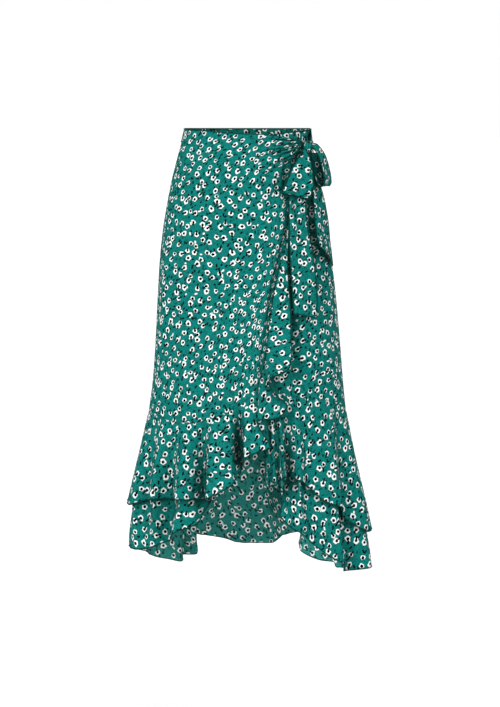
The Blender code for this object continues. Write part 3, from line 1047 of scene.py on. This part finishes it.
# Painted shade: ambient occlusion within this reach darkens the colour of hollows.
PAINTED_SHADE_REACH = 0.045
PAINTED_SHADE_START = 0.22
PAINTED_SHADE_LIMIT = 0.8
PAINTED_SHADE_SAMPLES = 6


def crepe_surface(paint, colour, relief, strength, height):
    """Gives a material this colour, the dull finish of crepe, and this relief as its bump."""
    bump = paint.add("Bump", {"Strength": strength, "Distance": height, "Height": relief})
    paint.plug(paint.surface, {
        "Base Color": colour,
        "Roughness": CREPE_ROUGHNESS,
        "Specular IOR Level": CREPE_GLOSS,
        "Normal": bump.outputs[0],
    })
    return paint.material


def printed_crepe(name, dye_and_shade):
    """Thin crepe in these colours, with the flower print on its flat cut, a fine crinkled grain, and
    painted shade in hollows.
    """
    paint = Paint(name)
    cut = paint.add("UVMap", uv_map="cut").outputs[0]
    wobble = paint.noise(cut, WOBBLE_SCALE, 1.0)["Color"]
    wobble = paint.vector("SUBTRACT", wobble, (0.5, 0.5, 0.5))
    print_cut = paint.vector("ADD", cut, paint.scaled(wobble, 2 * PRINT_WOBBLE))
    petals, marks, beyond = flowers(paint, print_cut)
    buds, dashes = scatter(paint, print_cut, beyond)
    # The ground is mottled between ground and deep: partly a random tone of the cloth, partly
    # painted shade, darker where the crinkle's bump (below) is low.
    cloud = paint.noise(cut, CLOUD_SCALE, 3.0)["Fac"]
    grain = paint.noise(cut, GRAIN_SCALE, 2.0)["Fac"]
    shade = paint.line(grain, GRAIN_SHADE, SHADE_START)
    shade = paint.line(cloud, CLOUD_SHADE, shade, clamp=True)
    ground = paint.mix(shade, dye_and_shade.deep, dye_and_shade.ground)
    white = paint.math("MAXIMUM", petals, buds)
    black = paint.math("MAXIMUM", marks, dashes)
    colour = paint.mix(white, ground, dye_and_shade.petal)
    colour = paint.mix(black, colour, dye_and_shade.mark)
    # Painted shade: where ambient occlusion finds a hollow, the colour is darkened towards the set's
    # painted shade colour, as strongly as its depth says.
    painted_shade_finder = {"Distance": PAINTED_SHADE_REACH}
    open_air = paint.add("AmbientOcclusion", painted_shade_finder, samples=PAINTED_SHADE_SAMPLES).outputs["AO"]
    hollow = paint.line(open_air, -dye_and_shade.depth, dye_and_shade.depth - PAINTED_SHADE_START, clamp=True)
    hollow = paint.math("MINIMUM", hollow, PAINTED_SHADE_LIMIT)
    colour = paint.mix(hollow, colour, dye_and_shade.hollow)
    crinkle = paint.line(cloud, 1.0, paint.times(grain, GRAIN_CRINKLE))
    return crepe_surface(paint, colour, crinkle, 1.0, CRINKLE_HEIGHT)


# The face, the reverse (partly painted light) and a darker copy in painted shade.
face = printed_crepe("crepe_face", FACE)
reverse = printed_crepe("crepe_reverse", REVERSE)
painted_shade_copy = printed_crepe("crepe_painted_shade_copy", PAINTED_SHADE_COPY)
print("nodes in the print:", len(face.node_tree.nodes))

# %% The thread and cloth of the rolled hems
EDGE_DARK = (0.001, 0.022, 0.018, 1)
EDGE_LIGHT = (0.002, 0.085, 0.072, 1)
STITCH_LENGTH = 0.0021
BAND_AT_SCALE_ONE = 0.314
STITCH_WOBBLE = 1.5
STITCH_STRENGTH = 0.6
STITCH_HEIGHT = 0.0003
edging_paint = Paint("crepe_edging")
rolled_cut = edging_paint.add("UVMap", uv_map="cut").outputs[0]
stitch_scale = BAND_AT_SCALE_ONE / STITCH_LENGTH
bands = {"Vector": rolled_cut, "Scale": stitch_scale, "Distortion": STITCH_WOBBLE}
stitches = edging_paint.add(
    "TexWave", bands, wave_type="BANDS", bands_direction="DIAGONAL"
).outputs["Fac"]
edging_colour = edging_paint.mix(stitches, EDGE_DARK, EDGE_LIGHT)
edging = crepe_surface(edging_paint, edging_colour, stitches, STITCH_STRENGTH, STITCH_HEIGHT)
print("a stitch of the hems is", round(STITCH_LENGTH / MM, 2), "mm long")

# %% [markdown]
# ## The three panels
# Each panel is one layer of cloth from the waist to the flounce seam. The overlap is pulled to
# the knot, so its lines of cloth fan out from there, and its creases with them. Gathers take up
# cloth, so where a piece is gathered its flat cut, and the print with it, is wider than it looks.
# The print is laid a little larger on the panels than on the flounces.

# %% Lay the panels
def lattice(place, across, down, reach=1.0):
    """Points of the cloth, in metres, for a grid of this many cells."""
    u, v = np.meshgrid(np.linspace(0, 1, across + 1), np.linspace(0, reach, down + 1))
    return on_figure(*place(u, v))


def along_grain(flat, points):
    """The flat cut, turned or turned over so that y runs up the skirt and x round it."""
    bearing = np.unwrap(np.arctan2(points[..., 0], -points[..., 1]), axis=1)
    hung = np.stack([bearing * HALF["left"](0) * MM, points[..., 2]], axis=-1).reshape(-1, 2)
    laid = flat.reshape(-1, 2)
    left, _, right = np.linalg.svd((laid - laid.mean(axis=0)).T @ (hung - hung.mean(axis=0)))
    return flat @ (left @ right)


PANEL_PRINT = 1.06
FLOUNCE_PRINT = 0.95
NO_GATHERS = (1.0, 1.0)
KNOT_GATHERS = (1.0, 1.6)
SEAM_GATHERS = (1.2, 1.0)
TOP, FOOT, START, END = (0, slice(None)), (-1, slice(None)), (slice(None), 0), (slice(None), -1)


def printed_on(points, gathers, print_scale, split=None):
    """The flat cut as the print lies on it, in two stretches where a tier is split by a hem."""
    if split is None:
        return along_grain(unrolled(points, *gathers), points) * print_scale
    hidden, shown = points[:split + 1], points[split:]
    upper = along_grain(unrolled(hidden, *gathers), hidden)
    under = along_grain(unrolled(shown), shown)
    upper += under[0] - upper[-1]
    return np.concatenate([upper[:-1], under]) * print_scale


def sew(name, points, hems=(), gathers=NO_GATHERS, scale=PANEL_PRINT, split=None,
        inside=reverse):
    """One piece of the skirt: unrolled, laid, hemmed, and put in its node's place."""
    flat = printed_on(points, gathers, scale, split)
    piece = lay_cloth(name + "_cloth", points, flat, (face, inside))
    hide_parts(name)
    rolls = [roll_edge(f"{name}_hem_{i}", points, edge, edging) for i, edge in enumerate(hems)]
    declare(points)


overlap_panel = panel(
    overlap_seam, OVERLAP_WAIST, OVERLAP_CORNER, OVERLAP_SIDE_SHARE, OVERLAP_CREASES, True
)
underlap_panel = panel(
    underlap_seam, UNDERLAP_WAIST, UNDERLAP_CORNER, UNDERLAP_SIDE_SHARE, UNDERLAP_CREASES
)
sew("overlap_panel", lattice(overlap_panel, across=264, down=110), [START], KNOT_GATHERS)
sew("underlap_panel", lattice(underlap_panel, across=128, down=72), [START])
# The back panel's inside is painted shade, the darker copy of the cloth.
sew("back_panel", lattice(back_panel, across=150, down=130), [TOP], inside=painted_shade_copy)

# %% [markdown]
# ## The flounces and the ruffle
# A flounce is a long strip that is gathered into the seam, so it is nearly flat there and swings
# out in folds at its free edge. The upper tier of the overlap goes on past the deep valley and up
# the wrap's edge as a ruffle, whose folds hang one over the other.

# %% The places of the flounces
LAYER_STEP = 1.9
TIER_STEP = 8.0
TIER_REACH = 0.9
valley = len(OVERLAP_FOLDS) - 1
cascade_end = len(overlap_folds) - 1
underlap_end = len(UNDERLAP_FOLDS) - 1
overlap_low_end = valley * OVERLAP_LOW_SHARE
underlap_low_end = underlap_end * UNDERLAP_LOW_SHARE

front = flounce(overlap_seam, overlap_folds, 0, valley)
front_low = flounce(overlap_seam, overlap_folds, 0, overlap_low_end, OVERLAP_LOW_HEM)
cascade = flounce(overlap_seam, overlap_folds, valley, cascade_end, hang_from=valley)
inner = flounce(underlap_seam, UNDERLAP_FOLDS, 0, underlap_end)
inner_low = flounce(underlap_seam, UNDERLAP_FOLDS, 0, underlap_low_end, UNDERLAP_LOW_HEM)
back = flounce(back_seam, BACK_FOLDS, 0, back_seam.last)
back_low = flounce(back_seam, BACK_FOLDS, 0, back_seam.last, BACK_LOW_HEM)


def lower(points):
    """The lower tier hangs just inside the upper one, and furthest inside it at its free edge."""
    v = np.linspace(0, 2, len(points))[:, None, None]
    step = LAYER_STEP + TIER_STEP * ease(v / TIER_REACH) * (1 - ease((v - 1) / TIER_REACH))
    return points - normals_of(points) * step * MM


# %% [markdown]
# ## The small folds of a flounce
# The tables hold the large folds alone. Real crepe also puckers where it is gathered into a seam,
# ripples on its way down and flutes at its rolled edge, too finely for a table. Waves along the
# seam give these, unevenly spaced and high, so that they don't look machined. The puckers die out
# within a few centimetres of the seam.

# %% Small folds, and the flounces
Wave = namedtuple("Wave", "height length sway sway_length")
PUCKER = Wave(0.8, 9.0, 1.9, 67)
RIPPLES = (Wave(1.5, 61, 1.7, 143), Wave(1.2, 38, 1.5, 97), Wave(0.8, 23, 1.3, 71))
HEM_WAVE = Wave(1.3, 19, 1.8, 83)
PUCKER_RISE = 2.5
PUCKER_FADE = 18.0
HEM_FADE = 13.0
END_FADE = 14.0
RIPPLE_GROWTH = 1.2
MEAN_SHARE = 0.65
UNEVEN_SHARE = 0.35
UNEVEN_LENGTH = 1.37
UNEVEN_START = 1.1
SHORTEST_COLUMN = 1.0


def swayed(wave, along):
    """A wave whose crests are unevenly spaced and high."""
    sway = wave.sway * np.sin(2 * np.pi * along / wave.sway_length)
    phase = 2 * np.pi * along / wave.length + sway
    slow = 2 * np.pi * along / (UNEVEN_LENGTH * wave.sway_length) + UNEVEN_START
    return wave.height * (MEAN_SHARE + UNEVEN_SHARE * np.sin(slow)) * np.sin(phase)


def ruffled(points):
    """The same cloth with puckers at its seam, ripples down it and a fluted free edge."""
    along = np.linalg.norm(np.diff(points[0], axis=0), axis=-1) / MM
    along = np.concatenate([[0.0], np.cumsum(along)])
    down = np.linalg.norm(np.diff(points, axis=0), axis=-1) / MM
    down = np.concatenate([np.zeros((1, points.shape[1])), np.cumsum(down, axis=0)])
    left = down[-1] - down
    rise = 1 - np.exp(-down / PUCKER_RISE)
    relief = swayed(PUCKER, along) * np.exp(-down / PUCKER_FADE) * rise
    share = (down / np.maximum(down[-1], SHORTEST_COLUMN)) ** RIPPLE_GROWTH
    relief += sum(swayed(wave, along) for wave in RIPPLES) * share
    relief += swayed(HEM_WAVE, along) * np.exp(-left / HEM_FADE)
    relief *= ease(np.minimum(along, along[-1] - along) / END_FADE)
    return points + normals_of(points) * relief[..., None] * MM


print("puckers every", PUCKER.length, "mm and flutes every", HEM_WAVE.length, "mm")


def sew_flounce(name, points, hems=(FOOT,), split=None, inside=reverse):
    """A flounce or ruffle, gathered into its seam."""
    sew(name, ruffled(points), hems, SEAM_GATHERS, FLOUNCE_PRINT, split, inside)


def low_tier(place, across, down):
    """Points of a lower tier, from the seam past the upper tier's hem (v = 1) to its own."""
    return lower(lattice(place, across, down, reach=2.0))


sew_flounce("overlap_flounce", lattice(front, across=300, down=44))
overlap_low = low_tier(front_low, across=220, down=72)
sew_flounce("overlap_low_flounce", overlap_low, (FOOT, END), split=34)
# The ruffle's inside is painted shade, the darker copy of the cloth.
sew_flounce("cascade_ruffle", lattice(cascade, across=520, down=36), inside=painted_shade_copy)
sew_flounce("underlap_flounce", lattice(inner, across=340, down=52))
underlap_low = low_tier(inner_low, across=220, down=88)
sew_flounce("underlap_low_flounce", underlap_low, (FOOT, END), split=41)
sew_flounce("back_flounce", lattice(back, across=400, down=52))
sew_flounce("back_low_flounce", low_tier(back_low, across=400, down=80), split=37)

# %% [markdown]
# ## The tie and its bow
# The tie comes out of the left side seam, goes round the back and is knotted at the hip, where it
# holds the gathered corner of the overlap, with two loops and two tails. Each stretch that shows
# is a strip of its own here, with soft pleats that flatten towards both of its ends. A knot could
# be simulated, but the strips' tables put every edge of the bow where it belongs.

# %% Tables of the bow
FRONT_LOOP = table("""
left right drop slant out_left out_right
47.9 50.7 40 0 16 16
39 49 58 0 22 27
30.6 47.2 84 1 26 34
26.2 45.8 107 6 26 36
23.8 43.2 119 11 25 33
23.4 42 123 12 21 27
24.6 43.4 118 10 18 18
29 46.5 100 4 15.5 15.5
38 50 66 0 15 15
50.5 54 47.4 0 14.5 14.5
""")
SIDE_LOOP = table("""
left right drop slant out_left out_right
59.6 62 34 -6 14 14
59.8 66.5 46 -13 25 23
59.5 73.8 66 -11 31 27
60 80 92 -5 33 27
60.5 82 107 0 30 25
60.5 82 113 0 23 20
60.5 82 107 0 15 22.5
60 80 91 0 12 25
60 73.5 68 0 11.5 24
59.8 65 47 0 12 19
""")
FRONT_TAIL = table("""
left right drop slant out_left out_right
52 55 47.5 0 11 11
39 51 74 0 10 10
33.5 47 108 0 10 10
31 45.6 142 0 10 10
28.5 44 189 0 14 12
27.6 45.4 240 0 15 14
27.2 46 300 0 17 15
27 43.5 358 10 19 17
""")
SIDE_TAIL = table("""
left right drop slant out_left out_right
56.3 58.3 45.3 0 8.5 8.5
56.5 66 76 0 6 6
57 72 106 0 6 7
56 76 142 0 8 9
53.2 78 180 4 11 8
52 78.5 210 18 14 5
52.4 77 230 40 17 5
""")
PLEATS = 1.5
PLEAT_HEIGHT = 1.6


def strip(rows):
    """A strip of the tie, from its first row (u = 0) to its last, and across from left to right."""
    line = columns(rows, rows[0]._fields)

    def place(u, v):
        row = {name: value(u * (len(rows) - 1)) for name, value in line.items()}
        fold = PLEAT_HEIGHT * np.sin(2 * np.pi * PLEATS * v) * np.sin(np.pi * u) ** 2
        out = blend(row["out_left"], row["out_right"], v) + fold
        return blend(row["left"], row["right"], v), row["drop"] + row["slant"] * v, out

    return place


# %% The tie round the back
TIE_START_ANGLE = 266.0
TIE_START_OUT = 1.9
TIE_TOP = 1.0
TIE_WIDTH = 25
TIE_OUT = 2.4
TIE_TURN_ANGLE = 84.0
TIE_END_ANGLE = 59.8
TIE_END_DROP = 24
TIE_END_WIDTH = 17
TIE_END_OUT = 11


def tie_band(u, v):
    """The tie, out of the left side seam and round the back to the knot."""
    angle = blend(TIE_START_ANGLE, TIE_END_ANGLE, u)
    near_knot = ease((TIE_TURN_ANGLE - angle) / (TIE_TURN_ANGLE - TIE_END_ANGLE))
    top = blend(TIE_TOP, TIE_END_DROP, near_knot)
    width = blend(TIE_WIDTH, TIE_END_WIDTH, near_knot)
    round_back = blend(TIE_START_OUT, TIE_OUT, ease((TIE_START_ANGLE - angle) / TIE_TURN_ANGLE))
    return angle, top + width * v, blend(round_back, TIE_END_OUT, near_knot)


sew("tie_band", lattice(tie_band, across=220, down=10), [TOP, FOOT])
# The insides of the loops and tails are painted shade, the darker copy of the cloth.
for name, rows, cells_along, hems in (
    ("bow_front_loop", FRONT_LOOP, 90, (TOP, FOOT)),
    ("bow_side_loop", SIDE_LOOP, 90, (TOP, FOOT)),
    ("tie_front_tail", FRONT_TAIL, 110, (TOP, FOOT, END)),
    ("tie_side_tail", SIDE_TAIL, 80, (TOP, FOOT, END)),
):
    sew(name, lattice(strip(rows), cells_along, down=24), hems, inside=painted_shade_copy)

# %% [markdown]
# ## The knot
# The knot is the tie wrapped once round itself: a soft lump with folds that run round it. A
# sphere pushed into folds gives that lump without any open end. The sphere's faces and edges come
# in another order on each run, so they are sorted, and the same script makes the same mesh.

# %% Tie the knot
KNOT_ANGLE = 55.0
KNOT_DROP = 35.0
KNOT_OUT = 14.0
KNOT_SIZE = (19.0, 15.0, 23.0)
KNOT_FOLDS = 9
KNOT_TWIST = 2.2
KNOT_FOLD_DEPTH = 0.05
KNOT_PRINT = (0.06, 0.03)
KNOT_PRINT_PLACE = (0.31, 0.47)


def corner_number(part):
    """A number that only this face or edge has, from the vertices at its corners."""
    corners = sorted(vert.index for vert in part.verts)
    return sum(corner * len(ball.verts) ** place for place, corner in enumerate(corners))


ball = bmesh.new()
ball.loops.layers.uv.new("cut")
bmesh.ops.create_uvsphere(ball, u_segments=64, v_segments=40, radius=0.5, calc_uvs=True)
ball.verts.index_update()
ball.faces.sort(key=corner_number)
ball.edges.sort(key=corner_number)
for vert in ball.verts:
    direction = vert.co.normalized()
    bearing = math.atan2(direction.z, direction.x)
    fold = math.sin(KNOT_FOLDS * bearing + KNOT_TWIST * direction.y)
    vert.co *= 1 + KNOT_FOLD_DEPTH * fold * (1 - direction.y ** 2)
bmesh.ops.scale(ball, vec=Vector(KNOT_SIZE) * MM, verts=ball.verts)
bmesh.ops.rotate(ball, matrix=Matrix.Rotation(math.radians(KNOT_ANGLE), 3, "Z"), verts=ball.verts)
knot_middle = on_figure(np.array(KNOT_ANGLE), np.array(KNOT_DROP), np.array(KNOT_OUT))
bmesh.ops.translate(ball, vec=knot_middle, verts=ball.verts)
knot_mesh = meshed("knot_cloth", ball)
wraps = np.empty(len(knot_mesh.loops) * 2)
knot_mesh.uv_layers[0].uv.foreach_get("vector", wraps)
laid_wraps = wraps.reshape(-1, 2) * KNOT_PRINT + KNOT_PRINT_PLACE
knot_mesh.uv_layers[0].uv.foreach_set("vector", laid_wraps.ravel())
knot = add_piece("knot_cloth", knot_mesh, [face])
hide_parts("knot")
print("the knot is", [round(size, 3) for size in knot.dimensions], "m")
